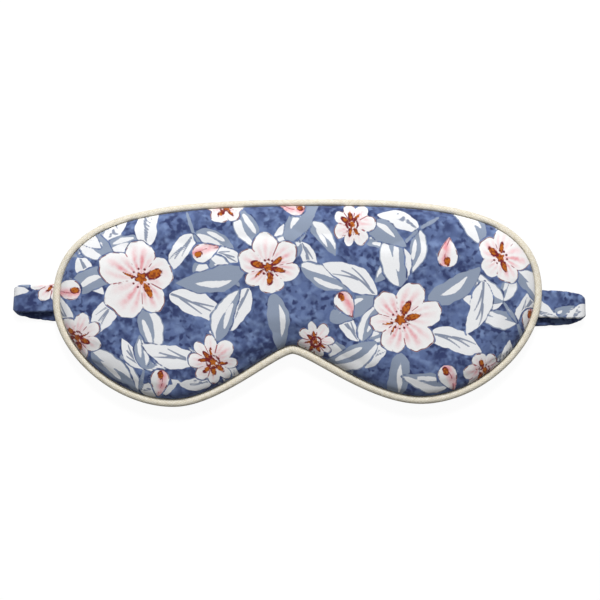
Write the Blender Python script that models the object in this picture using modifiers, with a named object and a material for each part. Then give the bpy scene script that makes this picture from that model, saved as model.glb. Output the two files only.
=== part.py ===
"""Padded sleep mask lying face up, with its head strap folded flat behind it.

The wearer's side faces down. +Z is the face of the mask, +Y the brow, +X the
wearer's left-hand side seen from the front. The origin lies on the table under
the middle of the box round the mask and its two strap folds.
"""
import math

import bmesh
import bpy
import numpy as np
from mathutils import Vector

# Driving dimensions, in metres.
MASK_WIDTH = 0.2100              # over the piping, temple to temple
MASK_HEIGHT = 0.0884             # over the piping, brow to the bottom of the lobes
TEMPLE_Y = 0.0034                # widest point above the middle of the height
LOBE_X = 0.0534                  # lowest point of each lobe from the nose line
NOTCH_Y = -0.0194                # top of the nose notch at the seam
BROW_HANDLE = 0.0617             # curve handles of the seam line, from the brow round to the nose
TEMPLE_UPPER_HANDLE = 0.0329
TEMPLE_LOWER_HANDLE = 0.0232
LOBE_OUTER_HANDLE = 0.0238
LOBE_INNER_HANDLE = 0.0207
NOTCH_HANDLE = 0.0101

GAP = 0.0003                     # between layers that lie on each other
BIAS_CLOTH = 0.0003              # cloth of the piping and of the strap casing
PANEL_CLOTH = 0.0004             # cloth of the front and back panels
LINING_CLOTH = 0.0003            # blackout lining
CORD_DIAMETER = 0.0020           # cord inside the piping
SEAM_ALLOWANCE = 0.0060          # what lies inside the seam line
FRONT_LOFT = 0.0055              # crown of the front above its own edge
FRONT_REACH = 0.0220             # how far in from the seam the front still rises
BACK_REACH = 0.0060              # how far in from the seam the back still falls
SPINE_HALF_LENGTH = 0.0560       # middle line that the panels close on
SPINE_END_Y = -0.0030
DIP_MARGIN = 0.0040              # the back panel's edge lies low this far past each side of a strap end
DIP_BLEND = 0.0080               # and climbs back to the piping over this length

ELASTIC_WIDTH = 0.0100
ELASTIC_THICKNESS = 0.0008
CASING_EASE = 0.0007             # beside the elastic, each side
LEFT_STUB = 0.0169               # fold of the strap past the piping
RIGHT_STUB = 0.0189
LEFT_STRAP_Y = 0.0030            # where the strap leaves the seam
RIGHT_STRAP_Y = -0.0026
LEFT_FOLD_DROP = 0.0008          # how far the strap slips down within its fold
RIGHT_FOLD_DROP = 0.0015
LEFT_RUN_TURN = math.radians(8.9)    # slant of the lower run against the upper one
RIGHT_RUN_TURN = math.radians(1.3)
RUN_HANDLE = 0.0800              # curve handles of the lower run
LYING_HALF_LENGTH = 0.0450       # the run that stays on the table when the mask is lifted

# How finely the curved shapes are divided.
TOP_STATIONS = 20                # along the seam, brow to temple; as many again from temple to nose
FOLD_STEPS = 8
ROUND_STEPS = 4                  # round each edge of the strap
BEAD_STEPS = 9                   # round the piping

# Sizes that follow from them.
PIPING_DIAMETER = CORD_DIAMETER + 2 * (GAP + BIAS_CLOTH)
STRAP_WIDTH = ELASTIC_WIDTH + 2 * (CASING_EASE + BIAS_CLOTH)
STRAP_THICKNESS = ELASTIC_THICKNESS + 2 * (GAP + BIAS_CLOTH)
PLY_OFFSET = (GAP + BIAS_CLOTH) / 2          # each ply of the piping's flange from its middle
FLANGE_HALF = PLY_OFFSET + BIAS_CLOTH / 2
SEAM_HALF_WIDTH = MASK_WIDTH / 2 - PIPING_DIAMETER
SEAM_TOP = MASK_HEIGHT / 2 - PIPING_DIAMETER
FILLING_INSET = SEAM_ALLOWANCE + GAP

# Heights above the table, from the lower run of the strap up.
RUN_Z = STRAP_THICKNESS / 2
BACK_BASE_Z = STRAP_THICKNESS + GAP + PANEL_CLOTH        # inner face of the back panel
STUB_Z = BACK_BASE_Z + GAP + STRAP_THICKNESS / 2
PIPING_Z = STUB_Z + STRAP_THICKNESS / 2 + GAP + PIPING_DIAMETER / 2
BACK_EDGE_Z = PIPING_Z - FLANGE_HALF - GAP
FRONT_EDGE_Z = PIPING_Z + FLANGE_HALF + GAP              # inner face of the front panel
LINING_Z = BACK_BASE_Z + GAP + LINING_CLOTH / 2
WADDING_BASE_Z = LINING_Z + LINING_CLOTH / 2 + GAP

# The two folds stand out unequally, so the mask sits a little off the middle of the box.
MASK_CENTRE = Vector(((LEFT_STUB - RIGHT_STUB) / 2, 0, 0))


# ---------------------------------------------------------------- scene

def clear_scene():
    for obj in list(bpy.data.objects):
        bpy.data.objects.remove(obj, do_unlink=True)


def new_collection(name):
    collection = bpy.data.collections.new(name)
    bpy.context.scene.collection.children.link(collection)
    return collection


def make_material(name, colour, roughness):
    material = bpy.data.materials.new(name)
    material.use_nodes = True
    shader = material.node_tree.nodes["Principled BSDF"]
    shader.inputs["Base Color"].default_value = (*colour, 1)
    shader.inputs["Roughness"].default_value = roughness
    shader.inputs["Metallic"].default_value = 0
    return material


def add_object(name, data, material, collection, parent=None):
    """Hangs the piece on the empty that its joint moves, or sets it at the mask's middle."""
    obj = bpy.data.objects.new(name, data)
    collection.objects.link(obj)
    data.materials.append(material)
    if parent:
        obj.parent = parent
    else:
        obj.location = MASK_CENTRE
    return obj


def add_solidify(obj, thickness, offset):
    solidify = obj.modifiers.new("cloth", "SOLIDIFY")
    solidify.thickness = thickness
    solidify.offset = offset
    return solidify


def mesh_from_bmesh(name, bm):
    bmesh.ops.recalc_face_normals(bm, faces=bm.faces)
    mesh = bpy.data.meshes.new(name)
    bm.to_mesh(mesh)
    bm.free()
    mesh.shade_smooth()
    mesh.set_sharp_from_angle(angle=math.radians(40))
    return mesh


# ---------------------------------------------------------------- seam line

def bezier(points, t):
    a, b, c, d = (np.array(p) for p in points)
    s = 1 - t
    place = s**3 * a + 3 * s * s * t * b + 3 * s * t * t * c + t**3 * d
    slope = s * s * (b - a) + 2 * s * t * (c - b) + t * t * (d - c)
    return place, slope / np.linalg.norm(slope)


def seam_segments():
    """The right half of the seam line: brow to temple, temple to lobe, lobe to nose."""
    brow = (0, SEAM_TOP)
    temple = (SEAM_HALF_WIDTH, TEMPLE_Y)
    lobe = (LOBE_X, -SEAM_TOP)
    nose = (0, NOTCH_Y)
    temple_upper = (SEAM_HALF_WIDTH, TEMPLE_Y + TEMPLE_UPPER_HANDLE)
    temple_lower = (SEAM_HALF_WIDTH, TEMPLE_Y - TEMPLE_LOWER_HANDLE)
    lobe_outer = (LOBE_X + LOBE_OUTER_HANDLE, -SEAM_TOP)
    lobe_inner = (LOBE_X - LOBE_INNER_HANDLE, -SEAM_TOP)
    return (
        (brow, (BROW_HANDLE, SEAM_TOP), temple_upper, temple),
        (temple, temple_lower, lobe_outer, lobe),
        (lobe, lobe_inner, (NOTCH_HANDLE, NOTCH_Y), nose),
    )


def seam_stations():
    """Points of the seam line and their outward normals, clockwise from the middle of the brow."""
    steps = (TOP_STATIONS, TOP_STATIONS // 2, TOP_STATIONS - TOP_STATIONS // 2)
    places, normals = [], []
    for points, count in zip(seam_segments(), steps):
        for i in range(count):
            place, along = bezier(points, i / count)
            places.append(place)
            normals.append(np.array((-along[1], along[0])))
    places.append(np.array((0, NOTCH_Y)))
    normals.append(np.array((0, -1.0)))
    flip = np.array((-1, 1))
    places += [p * flip for p in places[-2:0:-1]]
    normals += [n * flip for n in normals[-2:0:-1]]
    return np.array(places), np.array(normals)


SEAM, OUTWARD = seam_stations()


def seam_inset(distance):
    return SEAM - OUTWARD * distance


def spine_points():
    """For each station, the point of the middle line that its ribs run to."""
    x = SEAM[:, 0] * SPINE_HALF_LENGTH / SEAM_HALF_WIDTH
    middle_y = (SEAM_TOP + NOTCH_Y) / 2
    y = middle_y - (middle_y - SPINE_END_Y) * (x / SPINE_HALF_LENGTH) ** 2
    return np.stack((x, y), axis=1)


def seam_distance(point):
    """Distance from a point inside the mask to the seam line."""
    start, end = SEAM, np.roll(SEAM, -1, axis=0)
    along = end - start
    share = ((point - start) * along).sum(axis=1) / (along * along).sum(axis=1)
    nearest = start + along * np.clip(share, 0, 1)[:, None]
    return float(np.linalg.norm(point - nearest, axis=1).min())


def quarter_round(distance, reach):
    """Rise of a stuffed edge: steep at the seam and level where the reach ends."""
    rest = max(0.0, 1 - distance / reach)
    return math.sqrt(1 - rest * rest)


def front_height(point, station):
    return FRONT_EDGE_Z + FRONT_LOFT * quarter_round(seam_distance(point), FRONT_REACH)


def strap_dip(station):
    """1 where a strap end is sewn in over the back panel's edge, 0 away from it."""
    x, y = SEAM[station]
    strap_y = RIGHT_STRAP_Y if x > 0 else LEFT_STRAP_Y
    past = abs(y - strap_y) - STRAP_WIDTH / 2 - DIP_MARGIN
    share = min(1.0, max(0.0, past / DIP_BLEND))
    return 1 - share * share * (3 - 2 * share)


def back_height(point, station):
    rise = 1 - quarter_round(seam_distance(point), BACK_REACH)
    return BACK_BASE_Z + (BACK_EDGE_Z - BACK_BASE_Z) * rise * (1 - strap_dip(station))


# ---------------------------------------------------------------- lofted layers

def loft_layer(bm, insets, shares, height):
    """Rings inward from the seam, first by even insets and then by shares of the way to the spine,
    closed over the spine by pairing each upper station with the one below it."""
    rings = [seam_inset(distance) for distance in insets]
    inner, spine = rings[-1], spine_points()
    rings += [inner + (spine - inner) * share for share in shares]
    count = len(SEAM)
    verts = [[bm.verts.new((*ring[i], height(ring[i], i))) for i in range(count)] for ring in rings]
    for outer, inner in zip(verts, verts[1:]):
        for i in range(count):
            j = (i + 1) % count
            bm.faces.new((outer[i], outer[j], inner[j], inner[i]))
    last, half = verts[-1], count // 2
    for side in (1, -1):
        for k in range(TOP_STATIONS):
            upper = [last[side * k], last[side * (k + 1)]]
            lower = [last[half - side * (k + 1)], last[half - side * k]]
            bm.faces.new(list(dict.fromkeys(upper + lower)))
    return verts


def panel_insets():
    """Close rings over the seam allowance, where a stuffed edge curves most."""
    return [GAP] + [SEAM_ALLOWANCE * share for share in (0.2, 0.5)] + [FILLING_INSET]


def build_panel(name, height, shares, side):
    """A cloth panel, thickened outward from its inner face; side is 1 for the front, -1 for the back."""
    bm = bmesh.new()
    loft_layer(bm, panel_insets(), shares, height)
    mesh = mesh_from_bmesh(name, bm)
    if mesh.polygons[0].normal.z * side < 0:
        mesh.flip_normals()
    obj = add_object(name, mesh, MATERIALS[name], PARTS, LIFT)
    add_solidify(obj, PANEL_CLOTH, 1)


def build_front_panel():
    build_panel("front_panel", front_height, (0.2, 0.45, 0.8), 1)


def build_back_panel():
    build_panel("back_panel", back_height, (0.45, 0.8), -1)


def build_wadding():
    """The filling: its top follows the front panel, and it stops short of the seam allowance."""
    bm = bmesh.new()
    shares = (0.2, 0.45, 0.8)
    top = loft_layer(bm, [FILLING_INSET], shares, lambda point, i: front_height(point, i) - GAP)
    base = loft_layer(bm, [FILLING_INSET], (0.8,), lambda point, i: WADDING_BASE_Z)
    upper, lower = top[0], base[0]
    for i in range(len(SEAM)):
        j = (i + 1) % len(SEAM)
        bm.faces.new((lower[i], lower[j], upper[j], upper[i]))
    add_object("wadding", mesh_from_bmesh("wadding", bm), MATERIALS["wadding"], PARTS, LIFT)


def build_blackout_lining():
    curve = bpy.data.curves.new("blackout_lining", "CURVE")
    curve.dimensions = "2D"
    curve.fill_mode = "BOTH"
    curve.extrude = LINING_CLOTH / 2
    add_poly_spline(curve, [(x, y, 0) for x, y in seam_inset(FILLING_INSET)], closed=True)
    obj = add_object("blackout_lining", curve, MATERIALS["blackout_lining"], PARTS, LIFT)
    obj.location.z = LINING_Z


# ---------------------------------------------------------------- piping

def add_poly_spline(curve, places, closed=False):
    spline = curve.splines.new("POLY")
    spline.points.add(len(places) - 1)
    for point, place in zip(spline.points, places):
        point.co = (*place, 1)
    spline.use_cyclic_u = closed


def piping_path(name):
    """The middle of the bead, all the way round the mask."""
    curve = bpy.data.curves.new(name, "CURVE")
    curve.dimensions = "3D"
    curve.twist_mode = "Z_UP"
    middle = SEAM + OUTWARD * PIPING_DIAMETER / 2
    add_poly_spline(curve, [(x, y, PIPING_Z) for x, y in middle], closed=True)
    return curve


def build_piping_cord():
    curve = piping_path("piping_cord")
    curve.bevel_depth = CORD_DIAMETER / 2
    curve.bevel_resolution = 1
    add_object("piping_cord", curve, MATERIALS["piping_cord"], PARTS, LIFT)


def bead_profile():
    """Section of the bias strip: two plies of flange that open into the bead round the cord."""
    radius = (PIPING_DIAMETER - BIAS_CLOTH) / 2
    start = math.pi - math.asin(PLY_OFFSET / radius)
    turns = [start - 2 * start * i / BEAD_STEPS for i in range(BEAD_STEPS + 1)]
    flange_end = PIPING_DIAMETER / 2 + SEAM_ALLOWANCE
    bead = [(-radius * math.cos(turn), radius * math.sin(turn), 0) for turn in turns]
    return [(flange_end, PLY_OFFSET, 0)] + bead + [(flange_end, -PLY_OFFSET, 0)]


def build_piping_cover():
    profile = bpy.data.curves.new("bead_profile", "CURVE")
    profile.dimensions = "2D"
    add_poly_spline(profile, bead_profile())
    guide = bpy.data.objects.new("bead_profile", profile)
    guide.hide_render = True
    guide.display_type = "WIRE"
    GUIDES.objects.link(guide)
    curve = piping_path("piping_cover")
    curve.bevel_mode = "OBJECT"
    curve.bevel_object = guide
    obj = add_object("piping_cover", curve, MATERIALS["piping_cover"], PARTS, LIFT)
    add_solidify(obj, BIAS_CLOTH, 0)


# ---------------------------------------------------------------- strap

FOLD_RADIUS = (STUB_Z - RUN_Z) / 2           # of the middle of the strap's thickness
UP = Vector((0, 0, 1))


def fold_x(stub):
    return MASK_WIDTH / 2 + stub - FOLD_RADIUS - STRAP_THICKNESS / 2


def run_handles():
    """Plan of the lower run between the two folds, as one curve that sags toward the nose."""
    left = np.array((-fold_x(LEFT_STUB), LEFT_STRAP_Y - LEFT_FOLD_DROP))
    right = np.array((fold_x(RIGHT_STUB), RIGHT_STRAP_Y - RIGHT_FOLD_DROP))
    left_way = np.array((math.cos(LEFT_RUN_TURN), -math.sin(LEFT_RUN_TURN)))
    right_way = np.array((-math.cos(RIGHT_RUN_TURN), -math.sin(RIGHT_RUN_TURN)))
    return left, left + left_way * RUN_HANDLE, right + right_way * RUN_HANDLE, right


def run_share(x):
    """Share of the lower run's curve at which it crosses x."""
    low, high = 0.0, 1.0
    for _ in range(40):
        middle = (low + high) / 2
        if bezier(run_handles(), middle)[0][0] < x:
            low = middle
        else:
            high = middle
    return low


def run_frames(start_x, end_x, steps):
    """Places along the lower run, each with its direction across the strap and its outer side."""
    first, last = run_share(start_x), run_share(end_x)
    frames = []
    for i in range(steps + 1):
        place, way = bezier(run_handles(), first + (last - first) * i / steps)
        along = Vector((*way, 0))
        frames.append((Vector((*place, RUN_Z)), UP.cross(along), -UP))
    return frames


def end_frames(side):
    """From the sewn-in end out under the piping, round the fold and back to the cut."""
    stub = RIGHT_STUB if side > 0 else LEFT_STUB
    strap_y = RIGHT_STRAP_Y if side > 0 else LEFT_STRAP_Y
    drop = RIGHT_FOLD_DROP if side > 0 else LEFT_FOLD_DROP
    turn = RIGHT_RUN_TURN if side > 0 else LEFT_RUN_TURN
    sewn_x, axis_x = SEAM_HALF_WIDTH - SEAM_ALLOWANCE, fold_x(stub)
    frames = []
    for i in range(3):
        x = sewn_x + (axis_x - sewn_x) * i / 3
        frames.append((Vector((side * x, strap_y, STUB_Z)), Vector((0, side, 0)), UP))
    for i in range(FOLD_STEPS + 1):
        share = i / FOLD_STEPS
        angle, slant = math.pi * share, turn * share
        outward = Vector((side * math.cos(slant), math.sin(slant), 0))
        outer_side = outward * math.sin(angle) + UP * math.cos(angle)
        slip = drop * share * share * (3 - 2 * share)
        axis = Vector((side * axis_x, strap_y - slip, (STUB_Z + RUN_Z) / 2))
        frames.append((axis + outer_side * FOLD_RADIUS, UP.cross(outward), outer_side))
    cut_x = side * (LYING_HALF_LENGTH + GAP / 2)
    for place, across, outer_side in run_frames(side * axis_x, cut_x, 8)[1:]:
        frames.append((place, across * side, outer_side))
    return frames


def stadium(width, thickness):
    """Section of the flat casing, with round edges."""
    radius, flat = thickness / 2, (width - thickness) / 2
    points = []
    for side in (1, -1):
        for i in range(ROUND_STEPS + 1):
            turn = math.pi * (i / ROUND_STEPS - 0.5)
            points.append((side * (flat + radius * math.cos(turn)), side * radius * math.sin(turn)))
    return points


def rectangle(width, thickness):
    return [(x * width / 2, z * thickness / 2) for x, z in ((1, -1), (1, 1), (-1, 1), (-1, -1))]


def sweep(bm, frames, section, capped):
    """A section carried along the strap, which turns over at its fold."""
    rings = []
    for place, across, outer_side in frames:
        rings.append([bm.verts.new(place + across * a + outer_side * b) for a, b in section])
    count = len(section)
    for near, far in zip(rings, rings[1:]):
        for i in range(count):
            j = (i + 1) % count
            bm.faces.new((near[i], near[j], far[j], far[i]))
    if capped:
        bm.faces.new(rings[0])
        bm.faces.new(rings[-1])


def build_strap_piece(prefix, frames, parent):
    casing = bmesh.new()
    sweep(casing, frames, stadium(STRAP_WIDTH - BIAS_CLOTH, STRAP_THICKNESS - BIAS_CLOTH), capped=False)
    name = prefix + "_casing"
    obj = add_object(name, mesh_from_bmesh(name, casing), MATERIALS["strap_casing"], PARTS, parent)
    add_solidify(obj, BIAS_CLOTH, 0)
    elastic = bmesh.new()
    sweep(elastic, frames, rectangle(ELASTIC_WIDTH, ELASTIC_THICKNESS), capped=True)
    name = prefix + "_elastic"
    add_object(name, mesh_from_bmesh(name, elastic), MATERIALS["strap_elastic"], PARTS, parent)


def build_strap():
    lying_end = LYING_HALF_LENGTH - GAP / 2
    build_strap_piece("left_strap", end_frames(-1), LIFT)
    build_strap_piece("right_strap", end_frames(1), LIFT)
    build_strap_piece("strap_run", run_frames(-lying_end, lying_end, 8), None)


# ---------------------------------------------------------------- assembly

clear_scene()
PARTS = new_collection("sleep_mask")
GUIDES = new_collection("guides")

MATERIALS = {
    "front_panel": make_material("printed cotton", (0.13, 0.18, 0.36), 0.80),
    "back_panel": make_material("plain blue cotton", (0.10, 0.13, 0.25), 0.80),
    "wadding": make_material("polyester wadding", (0.85, 0.85, 0.83), 0.95),
    "blackout_lining": make_material("black lining cloth", (0.01, 0.01, 0.01), 0.85),
    "piping_cover": make_material("cream bias cotton", (0.80, 0.74, 0.62), 0.78),
    "piping_cord": make_material("white cotton cord", (0.85, 0.84, 0.80), 0.90),
    "strap_casing": make_material("printed strap cotton", (0.15, 0.20, 0.38), 0.80),
    "strap_elastic": make_material("white woven elastic", (0.80, 0.80, 0.78), 0.70),
}

# The mask rises off the lower run of its strap along this empty's Z axis.
LIFT = bpy.data.objects.new("mask_lift", None)
LIFT.location = MASK_CENTRE
PARTS.objects.link(LIFT)

build_front_panel()
build_wadding()
build_blackout_lining()
build_back_panel()
build_piping_cover()
build_piping_cord()
build_strap()
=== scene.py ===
# %% [markdown]
# # A padded sleep mask with a printed cotton face
# The mask lies face up. Its strap leaves both temples, folds over and lies flat underneath.
# The CAD model gives every piece its place, so it is loaded first and never moved. All that
# follows dresses it: two cloth panels, the piping, the strap and what the pieces are made of.

# %% Load the CAD model
import math

import bmesh
import bpy
import numpy as np
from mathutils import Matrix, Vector


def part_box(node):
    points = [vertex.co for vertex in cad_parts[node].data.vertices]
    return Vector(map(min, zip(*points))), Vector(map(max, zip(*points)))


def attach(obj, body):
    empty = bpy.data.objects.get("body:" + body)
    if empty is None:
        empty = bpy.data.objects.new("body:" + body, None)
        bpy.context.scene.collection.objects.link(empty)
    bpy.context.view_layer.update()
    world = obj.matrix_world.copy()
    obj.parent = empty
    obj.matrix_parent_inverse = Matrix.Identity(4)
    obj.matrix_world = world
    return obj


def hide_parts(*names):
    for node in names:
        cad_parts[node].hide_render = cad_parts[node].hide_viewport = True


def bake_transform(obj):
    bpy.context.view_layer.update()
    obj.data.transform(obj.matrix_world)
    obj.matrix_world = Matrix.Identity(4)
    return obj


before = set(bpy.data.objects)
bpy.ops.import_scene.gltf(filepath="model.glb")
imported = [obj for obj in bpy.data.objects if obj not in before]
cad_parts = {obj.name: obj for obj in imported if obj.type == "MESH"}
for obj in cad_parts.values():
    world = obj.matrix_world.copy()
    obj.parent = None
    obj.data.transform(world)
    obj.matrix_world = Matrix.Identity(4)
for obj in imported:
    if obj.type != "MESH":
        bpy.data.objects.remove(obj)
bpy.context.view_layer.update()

MM = 0.001

# %% [markdown]
# ## Where the mask is
# The strap folds stand out unequally, so the middle of the mask is a little beside the origin.
# The piping goes all round the mask, so the middle of its box is the middle of the mask.

# %% Middle and main sizes of the mask
piping_low, piping_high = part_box("piping_cover")
MIDDLE_X = (piping_low.x + piping_high.x) / 2
SEAM_SIDE, SEAM_TOP = 101.8 * MM, 41.0 * MM       # half the width and half the height at the seam
BEAD = 3.2 * MM                                   # width of the piping that shows
PIPING_Z = 6.9 * MM                               # middle of the piping above the table
STRAP_Y = {-1: 3.0 * MM, 1: -2.6 * MM}            # where the strap leaves the left and right seam
PANEL_CLOTH, BIAS_CLOTH, LINING_CLOTH = 0.4 * MM, 0.3 * MM, 0.3 * MM
print("middle x", round(MIDDLE_X / MM, 2), "half width with piping", round((SEAM_SIDE + BEAD) / MM, 2),
      "and in the CAD", round((piping_high.x - piping_low.x) / 2 / MM, 2))

# %% [markdown]
# ## The seam line
# Every sewn part of the mask meets at one line: the cut edges of both panels and of the piping
# lie inside it. A pattern cutter draws it with a few curves, so it is a cyclic Bezier curve here,
# with points at the brow, the temples, the lowest places of the lobes and the nose notch.

# %% The seam line as a curve
BROW_Y, LOBE_Y = SEAM_TOP / MM, -SEAM_TOP / MM - 0.3
LEFT_X, RIGHT_X = -SEAM_SIDE / MM - 0.1, SEAM_SIDE / MM + 0.7      # the right temple is a little fuller
SEAM_POINTS = [      # place, handle towards the point before, handle towards the point after, in mm
    ((0, BROW_Y), (-61.7, BROW_Y), (63.0, BROW_Y)),
    ((RIGHT_X, 3.4), (RIGHT_X, 37.0), (RIGHT_X, -19.3)),
    ((53.4, LOBE_Y), (77.2, LOBE_Y), (31.6, LOBE_Y)),
    ((-2.1, -19.1), (5.9, -19.1), (-10.1, -19.1)),
    ((-53.4, LOBE_Y), (-34.8, LOBE_Y), (-77.2, LOBE_Y)),
    ((LEFT_X, 1.4), (LEFT_X, -19.2), (LEFT_X, 37.0)),
]
SEGMENT_STEPS = 32   # edges of each of the curve's eight segments


def deselect_all():
    bpy.ops.object.select_all(action="DESELECT")


def seam_curve(name, height, steps=SEGMENT_STEPS):
    """The seam line at a height, as eight Bezier segments of nearly equal length."""
    deselect_all()
    bpy.ops.curve.primitive_bezier_circle_add(location=(0, 0, 0))
    curve = bpy.context.object
    curve.name = curve.data.name = name
    spline = curve.data.splines[0]
    spline.bezier_points.add(len(SEAM_POINTS) - len(spline.bezier_points))
    for point, (place, before, after) in zip(spline.bezier_points, SEAM_POINTS):
        point.handle_left_type = point.handle_right_type = "FREE"
        for key, (x, y) in (("co", place), ("handle_left", before), ("handle_right", after)):
            setattr(point, key, (x * MM + MIDDLE_X, y * MM, height))
    bpy.ops.object.mode_set(mode="EDIT")
    bpy.ops.curve.select_all(action="DESELECT")
    points = curve.data.splines[0].bezier_points
    for point in (points[0], points[1], points[-1]):      # the brow and both temples
        point.select_control_point = point.select_left_handle = point.select_right_handle = True
    bpy.ops.curve.subdivide(number_cuts=1)                # the long brow curves are halved
    bpy.ops.object.mode_set(mode="OBJECT")
    curve.data.resolution_u = curve.data.splines[0].resolution_u = steps
    return curve


def seam_ring(name):
    """The seam line in the plane of the table, as a ring of edges."""
    seam_curve(name, 0.0)
    bpy.ops.object.convert(target="MESH")
    return bpy.context.object


ring = seam_ring("seam_line")
SEAM = np.array([vertex.co.xy for vertex in ring.data.vertices])
bpy.data.objects.remove(ring)
print("seam points", len(SEAM))

# %% [markdown]
# ## Distance to the seam
# The height, the print and the threads of the sewn pieces all depend on how far a point lies from
# the seam and how far along it. The points of the seam make short straight edges, so the nearest
# of them answers both. Its way outwards comes from the two neighbours of each point.

# %% The nearest place on the seam
SEAM_WAYS = np.roll(SEAM, -1, axis=0) - SEAM
STEP_LENGTHS = np.linalg.norm(SEAM_WAYS, axis=1)
SEAM_LENGTH = float(STEP_LENGTHS.sum())
past_point = np.roll(SEAM, 1, axis=0) - np.roll(SEAM, -1, axis=0)
SEAM_OUT = np.stack((past_point[:, 1], -past_point[:, 0]), 1) / np.linalg.norm(past_point, axis=1)[:, None]


def nearest_on_seam(points):
    """How far each point is outside the seam line, how far along the line that is, and the way out."""
    count = len(points)
    nearest, number, share = np.full(count, 1.0), np.zeros(count, int), np.zeros(count)
    for k, (start, way) in enumerate(zip(SEAM, SEAM_WAYS)):
        at = np.clip(((points - start) @ way) / (way @ way), 0, 1)
        away = np.linalg.norm(points - start - at[:, None] * way, axis=1)
        closer = away < nearest
        nearest[closer], number[closer], share[closer] = away[closer], k, at[closer]
    out = SEAM_OUT[number] * (1 - share)[:, None] + SEAM_OUT[(number + 1) % len(SEAM)] * share[:, None]
    beside = points - SEAM[number] - share[:, None] * SEAM_WAYS[number]
    outside = nearest * np.sign((beside * out).sum(1))
    travelled = np.cumsum(STEP_LENGTHS)[number] - (1 - share) * STEP_LENGTHS[number]
    return outside, travelled, out / np.linalg.norm(out, axis=1)[:, None]


def seam_distance(points):
    return np.abs(nearest_on_seam(points)[0])


print("seam length mm", round(SEAM_LENGTH / MM, 1),
      "steps mm", round(STEP_LENGTHS.min() / MM, 2), "to", round(STEP_LENGTHS.max() / MM, 2))

# %% [markdown]
# ## Heights of the stuffed mask
# A stuffed edge rises steeply beside its seam and then levels out, like a quarter of an ellipse.
# The height of a panel at a point therefore follows from the point's distance to the seam line.
# The back's edge climbs to the piping, except where a strap end is sewn in under it.

# %% Heights from the distance to the seam
FRONT_EDGE_Z, FRONT_RISE, FRONT_REACH = 7.65 * MM, 5.5 * MM, 12.5 * MM
BACK_LOW_Z, BACK_EDGE_Z, BACK_REACH = 2.7 * MM, 6.15 * MM, 6 * MM
BESIDE_STRAP, STRAP_FADE = 10 * MM, 8 * MM        # the edge stays low this far, then climbs over the fade
TEMPLE_X, TEMPLE_FADE = 60 * MM, 20 * MM          # and only past this distance from the middle


def quarter_round(distance, reach):
    return np.sqrt(1 - np.clip(1 - distance / reach, 0, 1) ** 2)


def smoothstep(share):
    share = np.clip(share, 0, 1)
    return share * share * (3 - 2 * share)


def front_inner_height(points):
    return FRONT_EDGE_Z + FRONT_RISE * quarter_round(seam_distance(points), FRONT_REACH)


def back_inner_height(points):
    strap_y = np.where(points[:, 0] > MIDDLE_X, STRAP_Y[1], STRAP_Y[-1])
    at_strap = 1 - smoothstep((np.abs(points[:, 1] - strap_y) - BESIDE_STRAP) / STRAP_FADE)
    at_temple = smoothstep((np.abs(points[:, 0] - MIDDLE_X) - TEMPLE_X) / TEMPLE_FADE)
    climb = 1 - quarter_round(seam_distance(points), BACK_REACH)
    return BACK_LOW_Z + (BACK_EDGE_Z - BACK_LOW_Z) * climb * (1 - at_strap * at_temple)


lobe_middle = np.array([[MIDDLE_X + 50 * MM, 0.0]])
print("drawn height of the front and back inside, at the middle of a lobe, mm:",
      [round(height(lobe_middle)[0] / MM, 2) for height in (front_inner_height, back_inner_height)])

# %% [markdown]
# ## A panel of cloth
# A panel could be a flat face cut out along the seam, but a cloth simulation needs even, square
# faces to fold well. Grid Fill lays such a grid between the upper and the lower part of the
# outline, with the short rows at the temples as rails. The points then rise to the stuffed height.

# %% Lay a grid of faces inside the seam
GRID_COLUMNS = 98                                 # along the brow; the rest goes to the two sides


def vertex_places(piece):
    places = np.zeros(len(piece.data.vertices) * 3)
    piece.data.vertices.foreach_get("co", places)
    return places.reshape(-1, 3)


def place_vertices(piece, places):
    piece.data.vertices.foreach_set("co", np.ascontiguousarray(places, float).ravel())
    piece.data.update()


def describe(piece):
    low, high = (extreme(vertex_places(piece), axis=0) / MM for extreme in (np.min, np.max))
    print(piece.name, "faces", len(piece.data.polygons), "mm", low.round(1), "to", high.round(1))


def select_only(piece):
    deselect_all()
    piece.select_set(True)
    bpy.context.view_layer.objects.active = piece


def pick(piece, kind, is_wanted):
    """In edit mode, selects the wanted ones of a kind: EDGE or FACE."""
    bpy.ops.mesh.select_mode(type=kind)
    bpy.ops.mesh.select_all(action="DESELECT")
    mesh = bmesh.from_edit_mesh(piece.data)
    for element in mesh.edges if kind == "EDGE" else mesh.faces:
        element.select = is_wanted(element)
    mesh.select_flush_mode()
    bmesh.update_edit_mesh(piece.data)


def turn_normals_out(piece):
    select_only(piece)
    bpy.ops.object.mode_set(mode="EDIT")
    bpy.ops.mesh.select_all(action="SELECT")
    bpy.ops.mesh.normals_make_consistent(inside=False)
    bpy.ops.object.mode_set(mode="OBJECT")


def panel_grid(name, height_at, inset=0.0):
    """A panel inside the seam, or inside a line drawn in from it, at the height of each of its points."""
    panel = seam_ring(name)
    count, half = len(panel.data.vertices), GRID_COLUMNS // 2
    place_vertices(panel, vertex_places(panel) - inset * np.pad(SEAM_OUT, ((0, 0), (0, 1))))
    top = {number % count for number in range(-half, half + 1)}
    bottom = {count // 2 + number for number in range(-half, half + 1)}

    def is_rail(edge):
        ends = {vertex.index for vertex in edge.verts}
        return ends <= top or ends <= bottom

    bpy.ops.object.mode_set(mode="EDIT")
    pick(panel, "EDGE", is_rail)
    bpy.ops.mesh.fill_grid(use_interp_simple=True)
    bpy.ops.object.mode_set(mode="OBJECT")
    turn_normals_out(panel)
    if panel.data.polygons[0].normal.z < 0:       # a flat panel has no outside, so it is told to face up
        panel.data.flip_normals()
    places = vertex_places(panel)
    places[:, 2] = height_at(places[:, :2])
    place_vertices(panel, places)
    return panel


front = panel_grid("front_panel_cloth", lambda at: front_inner_height(at) + PANEL_CLOTH / 2)
describe(front)

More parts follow.
